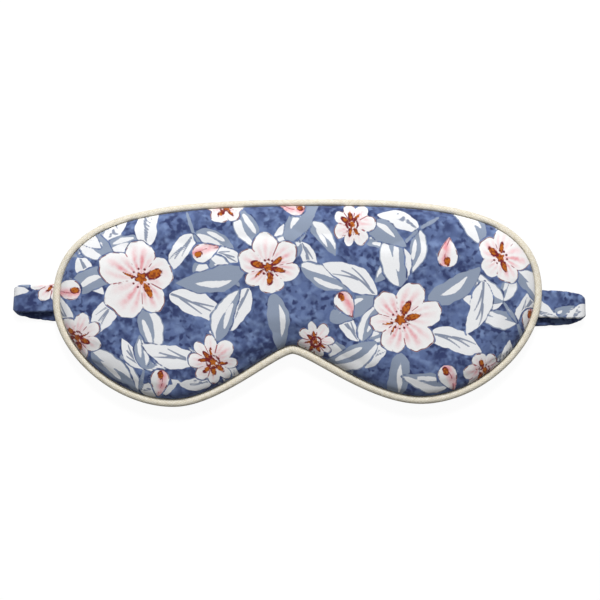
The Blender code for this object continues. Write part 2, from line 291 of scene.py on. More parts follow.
# %% [markdown]
# ## Cloth under pressure
# The wadding presses the front outwards, and the cloth is eased a little where it meets the
# piping, which gives the seam its small puckers. A drawn height alone would look moulded, so a
# cloth simulation goes over it: the edge is pinned where it is sewn, and pressure blows up the rest.
# Left alone, the pressure lifts some points by 5 mm. No point may move further than a cap, which two
# thirds of the front reach, so the dome is mostly the drawn height. Blender's cloth is tuned for
# things of a metre or two, so the panel is ten times its size meanwhile.

# %% Cloth simulation for a panel
SIM_SCALE = 10
SIM_FRAMES = 24


def sewn_edge(panel):
    """Numbers of the points on the open border."""
    uses = {}
    for face in panel.data.polygons:
        for key in face.edge_keys:
            uses[key] = uses.get(key, 0) + 1
    return sorted({point for key, count in uses.items() if count == 1 for point in key})


def stuff_panel(panel, pressure, spare, cap):
    """Presses the panel out along its normals, with a share of spare cloth, no further than the cap."""
    rest = vertex_places(panel)
    place_vertices(panel, rest * SIM_SCALE)
    pinned = panel.vertex_groups.new(name="sewn edge")
    pinned.add(sewn_edge(panel), 1.0, "REPLACE")
    select_only(panel)
    cloth = panel.modifiers.new("stuffing", "CLOTH")
    cloth.settings.quality = 6
    cloth.settings.mass = 0.3
    cloth.settings.use_pressure = True
    cloth.settings.uniform_pressure_force = pressure
    cloth.settings.shrink_min = -spare
    cloth.settings.vertex_group_mass = pinned.name
    cloth.settings.effector_weights.gravity = 0
    cloth.collision_settings.use_collision = False
    cloth.point_cache.frame_start, cloth.point_cache.frame_end = 1, SIM_FRAMES
    for number in range(1, SIM_FRAMES + 1):
        bpy.context.scene.frame_set(number)
    bpy.ops.object.modifier_apply(modifier=cloth.name)
    bpy.context.scene.frame_set(1)
    panel.vertex_groups.clear()
    moved = vertex_places(panel) / SIM_SCALE - rest
    far = np.linalg.norm(moved, axis=1)
    moved *= (cap / np.maximum(far, cap))[:, None]
    place_vertices(panel, rest + moved)
    print(panel.name, "pushed mm, before the cap: mean", round(far.mean() / MM, 2),
          "most", round(far.max() / MM, 2), "share held at the cap", round(float((far > cap).mean()), 2))


# %% [markdown]
# ## Stuff the front
# The simulation runs on the coarse grid, which is quick, and a subdivision then rounds its folds.
# The cloth can't sink into the wadding, so each point stays a little above the stuffed height.

# %% The front, stuffed and rounded
ABOVE_WADDING = 0.1 * MM


def apply_modifier(piece, kind, **settings):
    modifier = piece.modifiers.new(kind.lower(), kind)
    for key, value in settings.items():
        setattr(modifier, key, value)
    select_only(piece)
    bpy.ops.object.modifier_apply(modifier=modifier.name)


def subdivide(piece, levels):
    apply_modifier(piece, "SUBSURF", levels=levels, render_levels=levels, boundary_smooth="PRESERVE_CORNERS")


stuff_panel(front, pressure=0.4, spare=0.008, cap=1.2 * MM)
subdivide(front, 2)
places = vertex_places(front)
least = front_inner_height(places[:, :2]) + ABOVE_WADDING
places[:, 2] = np.maximum(places[:, 2], least) + PANEL_CLOTH / 2
place_vertices(front, places)
describe(front)

# %% [markdown]
# ## The seam is not quite even
# The photograph shows more of the piping at the nose, where the seam was turned by hand, and less
# at the brow, where the front rolls over it. So the seam is shifted inwards or outwards a little.
# Every piece sewn into it takes the same shift, which fades out across the bead and in the pad.

# %% Shift what is sewn into the seam
WIDER_BELOW, WIDER_AT_NOSE, NARROWER_AT_BROW = 0.35 * MM, 0.55 * MM, 0.3 * MM
NOSE_REACH, SHIFT_FADE = 24 * MM, 12 * MM


def shift_seam(piece):
    places = vertex_places(piece)
    outside, _, out = nearest_on_seam(places[:, :2])
    at_nose = np.exp(-((places[:, 0] - MIDDLE_X) / NOSE_REACH) ** 2)
    wider = (np.clip(-out[:, 1], 0, 1) * (WIDER_BELOW + WIDER_AT_NOSE * at_nose)
             - np.clip(out[:, 1], 0, 1) * NARROWER_AT_BROW)
    wider *= (1 - np.clip(outside / BEAD, 0, 1)) * (1 - smoothstep(-outside / SHIFT_FADE))
    places[:, :2] -= wider[:, None] * out
    place_vertices(piece, places)
    print(piece.name, "seam shifted mm", round(wider.min() / MM, 2), "to", round(wider.max() / MM, 2))


shift_seam(front)

# %% [markdown]
# ## The back panel
# The wearer's side is one piece of plain cloth in the blue of the print. It lies on the strap, so
# it is nearly flat, and its edge climbs to the piping. It is the same grid turned over. The strap
# holds it up along the middle, and beside the strap it hangs almost down to the table.

# %% Lay and stuff the back
STRAP_DIP, STRAP_SPAN = 6.3 * MM, 120 * MM        # the strap sags towards the nose between its folds
BESIDE_STRAP_Z, OVER_STRAP = 0.9 * MM, 1.5 * MM   # lowest place of the back, and what the strap adds
HELD_UP = 8 * MM                                  # over this distance the cloth comes down beside it
BELOW_LINING = 0.05 * MM                          # it never touches what lies on it


def give_thickness(piece, thickness, offset=-1):
    """Thickens cloth inwards from its surface, or both ways with an offset of 0."""
    apply_modifier(piece, "SOLIDIFY", thickness=thickness, offset=offset)


def shade_smooth(piece):
    select_only(piece)
    bpy.ops.object.shade_smooth_by_angle(angle=math.radians(50))


back = panel_grid("back_panel_cloth", lambda at: back_inner_height(at) - PANEL_CLOTH / 2)
back.data.flip_normals()
stuff_panel(back, pressure=0.25, spare=0.005, cap=1.0 * MM)
subdivide(back, 1)
places = vertex_places(back)
strap_y = -STRAP_DIP * smoothstep(1 - np.abs(places[:, 0]) / STRAP_SPAN)
lowest = BESIDE_STRAP_Z + OVER_STRAP * smoothstep(1.6 - np.abs(places[:, 1] - strap_y) / HELD_UP)
highest = back_inner_height(places[:, :2]) - BELOW_LINING
places[:, 2] = np.minimum(np.maximum(places[:, 2], lowest), highest)
place_vertices(back, places)
shift_seam(back)
give_thickness(back, PANEL_CLOTH)
shade_smooth(back)
describe(back)

# %% [markdown]
# ## The blackout lining
# Between the panels lies a black lining under a pad of wadding. Both are cut smaller than the
# panels, so that the seam stays thin. The lining is a flat cloth, so the same grid, drawn in from
# the seam and left level, is its real pattern, and its size is measured before it gets thick.

# %% The lining
INSET = 6.6 * MM                                  # the seam allowance and a little more
LINING_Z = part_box("blackout_lining")[0].z + LINING_CLOTH / 2

lining = panel_grid("blackout_lining_cloth", lambda at: np.full(len(at), LINING_Z), INSET)
LINING_SIZE = [float(side) for side in np.ptp(vertex_places(lining), axis=0)[:2]]
give_thickness(lining, LINING_CLOTH, 0)
shade_smooth(lining)

# %% [markdown]
# ## The wadding
# The pad that stuffs the mask is loose fibre. A cushion primitive wouldn't fit its outline, so it
# is the lining's grid again, extruded upwards. Its upper points rise to just under the front, with
# shallow tufts in two directions.

# %% The wadding
LAYER_GAP = 0.25 * MM                             # air between the pad and the cloths below and above it
PAD_FLOOR = LINING_Z + LINING_CLOTH / 2 + LAYER_GAP
TUFT_DEPTH, TUFTS_EAST, TUFTS_NORTH = 0.15 * MM, 700, 610         # the last two in radians per metre

wadding = panel_grid("wadding_pad", lambda at: np.full(len(at), PAD_FLOOR), INSET)
select_only(wadding)
bpy.ops.object.mode_set(mode="EDIT")
bpy.ops.mesh.select_all(action="SELECT")
bpy.ops.mesh.extrude_region_move(TRANSFORM_OT_translate={"value": (0, 0, MM)})
bpy.ops.mesh.select_all(action="SELECT")
bpy.ops.mesh.normals_make_consistent(inside=False)
bpy.ops.object.mode_set(mode="OBJECT")
places = vertex_places(wadding)
at_top = places[:, 2] > PAD_FLOOR + MM / 2
tufts = TUFT_DEPTH * (np.sin(places[:, 0] * TUFTS_EAST) * np.sin(places[:, 1] * TUFTS_NORTH + 1) - 1)
places[at_top, 2] = (front_inner_height(places[:, :2]) - LAYER_GAP + tufts)[at_top]
place_vertices(wadding, places)
shade_smooth(wadding)
describe(wadding)

# %% [markdown]
# ## The piping
# Piping is a strip of cotton cut on the bias and folded round a cord, with both edges sewn into
# the seam. A plain tube would have no edges to sew in, so a section of the real strip, open along
# its flange, is carried along the seam line as the bevel of a curve and then given its thickness.

# %% Fold the strip round its cord
FLANGE = 6.0 * MM                                 # width of the edges that are sewn in
PLY_OFFSET = 0.3 * MM                             # of each edge from the middle between them
BEAD_TURNS = 22


def strip_section():
    """Places across the seam and up: along one ply of the flange, round the cord and back."""
    radius = (BEAD - BIAS_CLOTH) / 2
    start = math.pi - math.asin(PLY_OFFSET / radius)
    turns = np.linspace(start, -start, BEAD_TURNS + 1)
    bead = [(BEAD / 2 + radius * math.cos(turn), radius * math.sin(turn)) for turn in turns]
    upper = [(-FLANGE, PLY_OFFSET), (-FLANGE / 2, PLY_OFFSET)]
    return upper + bead + [(out, -up) for out, up in reversed(upper)]


def sweep_seam(name, section, closed):
    """Carries a section, given as places outwards and up from the seam, along the seam line."""
    guide_curve = bpy.data.curves.new("section", "CURVE")
    guide_curve.dimensions = "2D"
    spline = guide_curve.splines.new("POLY")
    spline.points.add(len(section) - 1)
    spline.use_cyclic_u = closed
    for point, (out, up) in zip(spline.points, section):
        point.co = (-out, up, 0, 1)
    guide = bpy.data.objects.new("section", guide_curve)
    bpy.context.scene.collection.objects.link(guide)
    swept = seam_curve(name, PIPING_Z, SEGMENT_STEPS * 2)
    swept.data.dimensions, swept.data.twist_mode = "3D", "Z_UP"
    swept.data.bevel_mode, swept.data.bevel_object = "OBJECT", guide
    bpy.ops.object.convert(target="MESH")
    bpy.data.objects.remove(guide)
    return bpy.context.object


piping = sweep_seam("piping_cover_cloth", strip_section(), closed=False)
describe(piping)

# %% [markdown]
# ### A sewn bead
# A hand-fed bead is never quite even. Slow waves in its height, of a twentieth of a millimetre, give
# it that, and then the strip gets the thickness of its cotton.

# %% Waves and thickness of the piping
SWELLS = ((0.05, 0.83, 0.4), (0.04, -0.57, 1.31), (0.03, 2.1, 1.7))  # mm, and radians per mm east and north
places = vertex_places(piping)
east, north, height = places[:, 0] / MM, places[:, 1] / MM, places[:, 2] - PIPING_Z
swell = sum(size * np.sin(per_east * east + per_north * north) for size, per_east, per_north in SWELLS)
on_bead = smoothstep(seam_distance(places[:, :2]) / MM) * (np.abs(height) > PLY_OFFSET + 0.05 * MM)
places[:, 2] += swell * MM * on_bead * np.sign(height)
place_vertices(piping, places)
shift_seam(piping)
give_thickness(piping, BIAS_CLOTH, 0)
turn_normals_out(piping)
shade_smooth(piping)
describe(piping)

# %% [markdown]
# ### The cord inside the bead
# A twisted cotton cord fills the bead and gives it its roundness. It is a plain round section on
# the same seam line. Its strands are left to the material, as the strip hides them.

# %% The cord inside it
CORD_RADIUS, CORD_SIDES = 1.0 * MM, 16
cord_section = [(BEAD / 2 + CORD_RADIUS * math.cos(turn), CORD_RADIUS * math.sin(turn))
                for turn in np.linspace(0, 2 * math.pi, CORD_SIDES, endpoint=False)]
cord = sweep_seam("piping_cord_cotton", cord_section, closed=True)
shift_seam(cord)
turn_normals_out(cord)
shade_smooth(cord)
describe(cord)

# %% [markdown]
# ### Threads that follow the bead
# The threads of the strip run with the bead, at a slant, and turn with it round the mask. A pattern
# laid out in the room would cut across it, so each corner of a face keeps its own place on the
# strip: how far it is along the seam and how far round the cord.

# %% Where each corner is on the strip
def strip_places(piece):
    """For each face corner, mm along the seam and mm round the bead, with no jump inside a face."""
    places = vertex_places(piece)
    outside, along, _ = nearest_on_seam(places[:, :2])
    around = np.arctan2(places[:, 2] - PIPING_Z, np.abs(outside) - BEAD / 2) * BEAD / 2
    corners = np.zeros(len(piece.data.loops), int)
    piece.data.loops.foreach_get("vertex_index", corners)
    faces = corners.reshape(-1, 4)
    spread = [along[faces] / MM, around[faces] / MM]
    for values, turn in zip(spread, (SEAM_LENGTH / MM, math.pi * BEAD / MM)):
        values += turn * (values.max(1, keepdims=True) - values > turn / 2)
    return np.stack((*spread, spread[0] * 0), -1).reshape(-1, 3)


strip = piping.data.attributes.new("strip_mm", "FLOAT_VECTOR", "CORNER")
on_strip = strip_places(piping)
strip.data.foreach_set("vector", on_strip.astype(np.float32).ravel())
print("strip mm, along and round:", np.ptp(on_strip, axis=0)[:2].round(1))

# %% [markdown]
# ## The path of the strap
# Each end of the strap is sewn in at a temple. It runs out under the piping, folds over and comes
# back under the mask, where both ends meet as one strap. The lower run is one soft curve between
# the folds. A path is the middle of the strap's thickness, with the direction across the strap and
# the side that started as its face.

# %% The run under the mask
RUN_Z = 1.0 * MM                                  # middle of the layer on the table
FOLD_X = {-1: 119.8 * MM, 1: 122.1 * MM}          # axis of each fold
FOLD_DROP = {-1: 1.5 * MM, 1: 1.4 * MM}           # the strap slips down within its fold
RUN_TURN = {-1: math.radians(8.9), 1: math.radians(1.3)}
RUN_HANDLE = 80 * MM                              # handles of the curve between the folds
RUN_SAG = {-1: 0.5 * MM, 1: 1.3 * MM}             # the lower layer hangs out this much more
SAG_NEAR_FOLD, SAG_FADE = 6 * MM, 25 * MM         # which starts and ends over these lengths
CUT_X = 45 * MM                                   # from here in, the strap stays on the table
PATH_STEPS = 400


def lower_run():
    """Plan of the run between the folds, left to right, as a Bezier curve."""
    a, d = (np.array((side * FOLD_X[side], STRAP_Y[side] - FOLD_DROP[side])) for side in (-1, 1))
    b, c = (end + RUN_HANDLE * np.array((-side * math.cos(RUN_TURN[side]), -math.sin(RUN_TURN[side])))
            for end, side in ((a, -1), (d, 1)))
    t = np.linspace(0, 1, PATH_STEPS)[:, None]
    return (1 - t) ** 3 * a + 3 * (1 - t) ** 2 * t * b + 3 * (1 - t) * t * t * c + t**3 * d


def run_points(start_x, end_x):
    """Path of the lower layer, whose face is down: places, direction across, side that is the face."""
    line = lower_run()
    x = np.linspace(start_x, end_x, PATH_STEPS // 2)
    fold = np.where(x > 0, FOLD_X[1], FOLD_X[-1])
    sag = np.where(x > 0, RUN_SAG[1], RUN_SAG[-1]) * smoothstep((fold - np.abs(x)) / SAG_NEAR_FOLD)
    y = np.interp(x, line[:, 0], line[:, 1]) - sag * smoothstep((np.abs(x) - CUT_X) / SAG_FADE)
    way = np.stack((np.gradient(x), np.gradient(y)), 1)
    way /= np.linalg.norm(way, axis=1)[:, None]
    flat = np.zeros(len(x))
    return (np.stack((x, y, flat + RUN_Z), 1), np.stack((way[:, 1], -way[:, 0], flat), 1),
            np.tile((0.0, 0.0, -1.0), (len(x), 1)))


def path_length(places):
    return np.concatenate(([0.0], np.cumsum(np.linalg.norm(np.diff(places, axis=0), axis=1))))


middle_path = run_points(-CUT_X, CUT_X)
print("middle run mm", round(path_length(middle_path[0])[-1] / MM, 1))

# %% [markdown]
# ### The folded ends
# An end lies face up from its seam to the fold, turns over in half a circle and then becomes the
# lower run. The fold also turns in plan, because the two layers don't lie in quite one direction.
# The upper layer springs up a little on its way out from under the piping.

# %% From each seam round the fold
SEWN_X = 95.8 * MM                                # how far from the middle the seam holds the ends
FACE_Z = 4.0 * MM                                 # middle of the upper layer
FACE_LIFT = {-1: 0.2 * MM, 1: 0.9 * MM}           # it starts this much higher up the mask at the seam
FACE_RISE = 1.0 * MM                              # and springs up by this on its way to the fold
RISE_X, RISE_LENGTH = 103.5 * MM, 9 * MM


def end_points(side):
    """Path of an end from the seam, round the fold and back to where the strap lies on the table."""
    out = np.linspace(SEWN_X, FOLD_X[side], 60, endpoint=False)
    lift = FACE_LIFT[side] * (1 - smoothstep((out - SEWN_X) / (FOLD_X[side] - SEWN_X)))
    rise = FACE_RISE * smoothstep((out - RISE_X) / RISE_LENGTH)
    face = (np.stack((side * out, STRAP_Y[side] + lift, FACE_Z + rise), 1),
            np.tile((0.0, side, 0.0), (len(out), 1)), np.tile((0.0, 0.0, 1.0), (len(out), 1)))
    share = np.linspace(0, 1, 40, endpoint=False)
    angle, slant = math.pi * share, RUN_TURN[side] * share
    outward = np.stack((side * np.cos(slant), np.sin(slant), share * 0), 1)
    outer = outward * np.sin(angle)[:, None]
    outer[:, 2] += np.cos(angle)
    axis_y = STRAP_Y[side] - FOLD_DROP[side] * smoothstep(share)
    radius = (FACE_Z + FACE_RISE - RUN_Z) / 2
    axis = np.stack((share * 0 + side * FOLD_X[side], axis_y, share * 0 + RUN_Z + radius), 1)
    fold = (axis + outer * radius, np.stack((-outward[:, 1], outward[:, 0], share * 0), 1), outer)
    return [np.concatenate(parts) for parts in zip(face, fold, run_points(side * FOLD_X[side], side * CUT_X))]


PATHS = {"left": end_points(-1), "right": end_points(1), "middle": middle_path}
for key, (places, _, _) in PATHS.items():
    print(key, "part of the strap mm", round(path_length(places)[-1] / MM, 1))

# %% [markdown]
# ## A strap is sewn flat
# A strap is sewn flat and folded afterwards. Each casing and each elastic starts as a box as long
# as its path and is cut across into short steps. The casing also gets round edges by Bevel, and
# its ends are opened, because it is a tube.

# %% A straight band
CASING_WIDTH, CASING_THICKNESS, CASING_ROUNDING = 12.0 * MM, 2.0 * MM, 0.95 * MM
ELASTIC_WIDTH, ELASTIC_THICKNESS = 10.0 * MM, 0.8 * MM
CASING_STEP, ELASTIC_STEP = 0.6 * MM, 1.0 * MM    # size of their faces


def runs_along(edge, axis):
    a, b = (vertex.co for vertex in edge.verts)
    return abs(b[axis] - a[axis]) > 0.9 * (b - a).length


def straight_band(name, length, width, thickness, step, rounding=0.0):
    """A flat band along X from 0 to its length, and with rounded edges an open tube."""
    deselect_all()
    bpy.ops.mesh.primitive_cube_add(size=1, location=(length / 2, 0, 0), scale=(length, width, thickness))
    band = bpy.context.object
    band.name = band.data.name = name
    bpy.ops.object.transform_apply(location=True, rotation=True, scale=True)
    bpy.ops.object.mode_set(mode="EDIT")
    pick(band, "EDGE", lambda edge: runs_along(edge, 0))
    bpy.ops.mesh.subdivide(number_cuts=round(length / step) - 1)
    if rounding:                                  # the four long corners, before the width is cut
        pick(band, "EDGE", lambda edge: runs_along(edge, 0) and abs(edge.verts[0].co.y) > 0.49 * width)
        bpy.ops.mesh.bevel(offset=rounding, segments=5, affect="EDGES")
    pick(band, "EDGE", lambda edge: runs_along(edge, 1))
    bpy.ops.mesh.subdivide(number_cuts=round((width - 2 * rounding) / step) - 1)
    if rounding:
        pick(band, "FACE", lambda face: abs(face.normal.x) > 0.9)
        bpy.ops.mesh.delete(type="FACE")
    bpy.ops.object.mode_set(mode="OBJECT")
    return band


casings, elastics = {}, {}
for key, path in PATHS.items():
    length = path_length(path[0])[-1]
    casings[key] = straight_band(f"strap_{key}_casing_cloth", length, CASING_WIDTH, CASING_THICKNESS,
                                 CASING_STEP, CASING_ROUNDING)
    if key != "middle":                           # the middle elastic keeps its CAD solid
        elastics[key] = straight_band(f"strap_{key}_elastic_webbing", length, ELASTIC_WIDTH,
                                      ELASTIC_THICKNESS, ELASTIC_STEP)
    describe(casings[key])

# %% [markdown]
# ### Lay the strap along its path
# Each point of a flat band keeps its distance across the strap and above its middle, and is carried
# to its place along the path. A curve modifier would do that too, but it couldn't pull the cloth in
# at the fold or crease it where the elastic inside draws it together.

# %% Lay each band
FOLD_PINCH = 0.2                                  # share by which a band narrows where it turns over
FOLD_TUCK = {"left": 0.0, "right": 1.6 * MM, "middle": 0.0}      # only the right fold lies aslant
FOLD_REACH = 6.5 * MM                             # the tuck fades over this length beside the fold
RUFFLE = 0.14                                     # depth of the creases as a share of the thickness


def creases(along, across):
    """0 to 1, for places in mm: slanting creases about 5 mm apart, in groups about 7 mm long."""
    fine = np.sin(1.35 * along + 0.22 * across + 1.6 * np.sin(0.31 * along))
    return np.clip(fine * np.sin(0.47 * along - 0.35 * across), 0, 1)


def lay_band(band, path, tuck, ruffle=0.0):
    """Lays a straight band along a path and returns where each of its points was on the flat band.
    One edge slips in by the tuck near the fold."""
    places, across, outer = path
    along = path_length(places)
    flat = vertex_places(band)
    at = flat[:, 0] / flat[:, 0].max() * along[-1]
    here, sideways, up = (np.stack([np.interp(at, along, part[:, k]) for k in range(3)], 1)
                          for part in (places, across, outer))
    turning = np.sqrt(np.clip(1 - up[:, 2] ** 2, 0, 1))
    width = flat[:, 1] * (1 - FOLD_PINCH * turning**2)
    near_fold = np.exp(-((at - along[np.abs(outer[:, 2]).argmin()]) / FOLD_REACH) ** 2)
    width -= tuck * near_fold * np.clip(flat[:, 1] / (CASING_WIDTH / 2), 0, 1)
    creased = 1 - ruffle * creases(at / MM, flat[:, 1] / MM) * (1 - turning)
    laid = here + sideways * (width * (2 + creased) / 3)[:, None] + up * (flat[:, 2] * creased)[:, None]
    laid[:, 0] += MIDDLE_X
    place_vertices(band, laid)
    return at, flat


on_flat = {key: lay_band(band, PATHS[key], FOLD_TUCK[key], RUFFLE) for key, band in casings.items()}
for key, elastic in elastics.items():
    lay_band(elastic, PATHS[key], FOLD_TUCK[key])
    shade_smooth(elastic)
for band in casings.values():
    describe(band)

# %% [markdown]
# ## The printed pattern
# The cotton is printed with flowers and leaves in white, grey-blue and pink on a mottled blue.
# An image could hold the print, but a print made by code stays sharp at any size. Every motif is
# a signed distance, above 0 inside and in mm, that is worked out for each point of the cloth and
# kept as an attribute. The material turns each distance into a layer of ink.

# %% Ink layers and how a motif covers what lies below it
TILE = np.array((218.0, 112.0))      # mm, the block of the print that repeats
OUTSIDE = -6.0                       # mm, a distance that counts as far from any motif
GROUND_GAP = 0.5                     # mm of ground left round a motif that lies over another
INK_KEYS = ("shade", "white", "flower", "amber", "dots")
NO_MARKS = {"vein": OUTSIDE, "gap": 3.0, "pink": 0.0, "bloom": 2.0}      # where no mark is drawn


def blank_cloth(count):
    nothing = dict.fromkeys(INK_KEYS, OUTSIDE) | NO_MARKS
    return {key: np.full(count, value) for key, value in nothing.items()}


def from_motif(points, x, y, turn):
    """Coordinates of the points along and across a motif, from its nearest repeat."""
    offset = (points - (x, y) + TILE / 2) % TILE - TILE / 2
    c, s = math.cos(turn), math.sin(turn)
    return offset[:, 0] * c + offset[:, 1] * s, offset[:, 1] * c - offset[:, 0] * s


def from_stalk(points, x, y, degrees, length):
    """Along and across a motif that grows from (x, y), and the share of its length."""
    turn = math.radians(degrees)
    along, across = from_motif(points, x + length / 2 * math.cos(turn), y + length / 2 * math.sin(turn), turn)
    along = along + length / 2
    return along, across, np.clip(along / length, 0, 1)


def mark(cloth, over, **marks):
    """Draws marks where the newest motif lies."""
    for key, value in marks.items():
        cloth[key] = np.where(over, value, cloth[key])


def lay_over(cloth, shape, ink):
    """A new motif in one ink cuts the ones below back to a narrow line of ground and clears their marks."""
    for key in INK_KEYS:
        cloth[key] = np.minimum(cloth[key], -shape - GROUND_GAP)
    cloth[ink] = np.maximum(cloth[ink], shape)
    over = shape > -GROUND_GAP
    mark(cloth, over, **NO_MARKS)
    return over


print("print repeats every", TILE, "mm")

# %% [markdown]
# ### Leaves
# A leaf is widest before its middle, bends to one side, and was cut by hand, so its edge wavers. It
# comes in three kinds: white with a grey midrib, grey with one half white, and grey with a streak.
# Slow sine waves that depend on the place of the leaf make each one a little different.

# %% One leaf
def leaf(cloth, points, x, y, degrees, length, width, tone, bend=0.0):
    """A leaf on its stalk at (x, y). tone is white, two or grey. Sizes are in mm."""
    along, across, share = from_stalk(points, x, y, degrees, length)
    across = across - bend * 4 * share * (1 - share)
    half = 1.37 * width * share**0.6 * (1 - share) ** 0.9      # widest at two fifths of its length
    half = half * (1 + 0.07 * np.sin(along * 0.5 + x) + 0.03 * np.sin(along * 1.2 + y))
    shape = np.minimum((half - np.abs(across)) * 0.92, np.minimum(along, length - along))
    over = lay_over(cloth, shape, "shade")
    side = 1 if (x + y) % 2 < 1 else -1                        # of the leaf's white part
    wave = 0.10 * width * np.sin(share * 5.5 + x)              # of its midrib
    if tone == "white":
        pale = shape
        mark(cloth, over, vein=leaf_veins(along, across - 0.5 * wave, share, length, x))
    elif tone == "two":
        white_half = np.minimum(shape - 0.4, side * across - 0.02 * width + wave)
        reach = np.clip(1 - ((share - 0.48) / 0.24) ** 2, 0, 1)
        tongue = 0.12 * width * np.sqrt(reach) - np.abs(across + side * 0.2 * width - wave / 2)
        pale = np.maximum(white_half, np.minimum(shape - 0.7, tongue - 0.3 * (reach <= 0)))
    else:
        streak = 0.16 * width * np.sin(math.pi * np.clip((share - 0.16) / 0.6, 0, 1))
        pale = np.minimum(shape - 0.5, streak - np.abs(across - side * 0.1 * width + wave) - 0.2)
    cloth["white"] = np.maximum(cloth["white"], pale)


def leaf_veins(along, across, share, length, x):
    """A midrib that tapers to seven tenths of the leaf, and two side strokes."""
    vein = np.where(share < 0.7, 0.55 * (1 - 0.6 * share) - np.abs(across), OUTSIDE)
    for number in range(2):
        gone = along - (0.16 + 0.22 * number) * length         # mm from where this stroke starts
        way = 1 if (number + int(x)) % 2 else -1
        stroke = 0.48 * (1 - gone / (0.8 * length)) - np.abs(way * across - 0.3 - 0.22 * gone)
        vein = np.maximum(vein, np.where((gone > 0) & (gone < 0.42 * length), stroke, OUTSIDE))
    return vein


sample = blank_cloth(1)
leaf(sample, np.zeros((1, 2)), -5, 0, 0, 20, 8, "white")
print("a leaf 8 mm wide has its edge", round(sample["shade"][0], 1), "mm from a point on its midrib")

# %% [markdown]
# ### Flowers
# An open flower is a wavy circle: a cosine of the angle makes its petals, and slower waves make
# them unequal. Pink spreads from the heart in strokes, rust-red stains lie on some petals, and a
# ring of dots stands round the heart. A bud is the same flower from the side, between two leaves.

# %% Blossom and bud
def blossom(cloth, points, x, y, radius, petals, degrees, depth, blush, lean, frill=0.0):
    """An open flower. depth parts its petals, lean lengthens those on one side, frill notches them."""
    east, north = from_motif(points, x, y, math.radians(degrees))
    out, way = np.hypot(east, north), np.arctan2(north, east)
    swung = way + 0.10 * np.sin(2 * way + x) + 0.06 * np.sin(3 * way + y)
    petal_arc = 2 * math.pi / petals
    lobe = np.abs(np.cos(petals * swung / 2))
    edge = radius * (1 - depth + depth * lobe**0.6) * (1 + lean * np.cos(way - x))
    uneven = 0.025 * np.sin(7 * way + x) + 0.012 * np.sin(12 * way + y) + frill * np.cos(4 * petals * swung)
    edge = edge * (1 + uneven)
    over = lay_over(cloth, (edge - out) * 0.88, "flower")
    share = out / edge
    strokes = 0.55 + 0.45 * np.sin(petals * 3 * swung + 4 * share)
    pink = blush * np.clip(1.45 - 2.3 * np.abs(share - 0.30), 0, 1) * (0.35 + 0.65 * lobe) * strokes
    heart = 0.13 * radius * (1 + 0.25 * np.sin(5 * way + y)) - out
    turn = (swung / petal_arc + 0.5) % 1 - 0.5                 # from the middle of a petal
    stain = 0.10 * radius - np.hypot((out - 0.36 * radius) * 0.5, turn * petal_arc * out)
    stain = np.where(np.sin(way * 1.5 + x * 1.3) > -0.35, stain, OUTSIDE)
    dot_turn = (way * 2 / petal_arc) % 1 - 0.5                 # two dots to a petal
    dots = 0.5 - np.hypot(out - 0.22 * radius - 0.4, dot_turn * petal_arc / 2 * out)
    mark(cloth, over, bloom=share, gap=out * np.cos(petals * swung / 2) * 2 / petals,
         pink=np.clip(pink * (1 + 0.4 * np.sin(2 * way + y)), 0, 1),
         amber=np.maximum(heart, stain), dots=dots)


def bud(cloth, points, x, y, degrees, length):
    """A closed flower from the side, between two small leaves."""
    for swing in (-42, 42):
        leaf(cloth, points, x, y, degrees + swing, 0.6 * length, 0.24 * length, "grey")
    along, across, share = from_stalk(points, x, y, degrees, length)
    half = 0.33 * length * np.sin(math.pi * share**0.62) ** 0.85
    shape = np.minimum((half - np.abs(across)) * 0.9, np.minimum(along, length - along))
    over = lay_over(cloth, shape, "flower")
    mark(cloth, over, bloom=np.maximum(share, 0.5), gap=across - 0.1 * length * np.sin(share * 3.6),
         pink=np.clip(1.1 - 5 * np.abs(across / length - 0.1), 0, 1),
         amber=0.1 * length - np.hypot((along - 0.2 * length) * 0.7, across))


sample = blank_cloth(1)
blossom(sample, np.zeros((1, 2)), 0, 0, 15, 5, 0, 0.3, 1.0, 0.15)
print("the heart of a blossom 30 mm across reaches", round(sample["amber"][0], 1), "mm")

# %% [markdown]
# ### Sprays and the layout
# Curving stems with paired leaves fill the ground, single leaves lie over them, and the buds and
# blossoms come last, on top. The layout is drawn as a designer would place motifs until the
# cloth is evenly covered, so it is a list of places, turns and sizes.

# %% The layout of the print, in mm and degrees
def spray(cloth, points, x, y, degrees, step, curl, size):
    """A curving stem with two pairs of leaves and one at its tip."""
    place, heading = np.array((x, y), float), degrees
    for number in range(2):
        leaf(cloth, points, *place, heading, step * 1.25, 1.5, "grey")      # the stem
        place = place + step * np.array((math.cos(math.radians(heading)), math.sin(math.radians(heading))))
        here = size * (1 - 0.12 * number)
        for side in (-1, 1):
            tone = "two" if (number + (side > 0)) % 2 else "white"
            leaf(cloth, points, *place, heading + side * 50, here, 0.4 * here, tone, side * 1.2)
        heading += curl
    leaf(cloth, points, *place, heading, size, 0.38 * size, "two", 0.8)


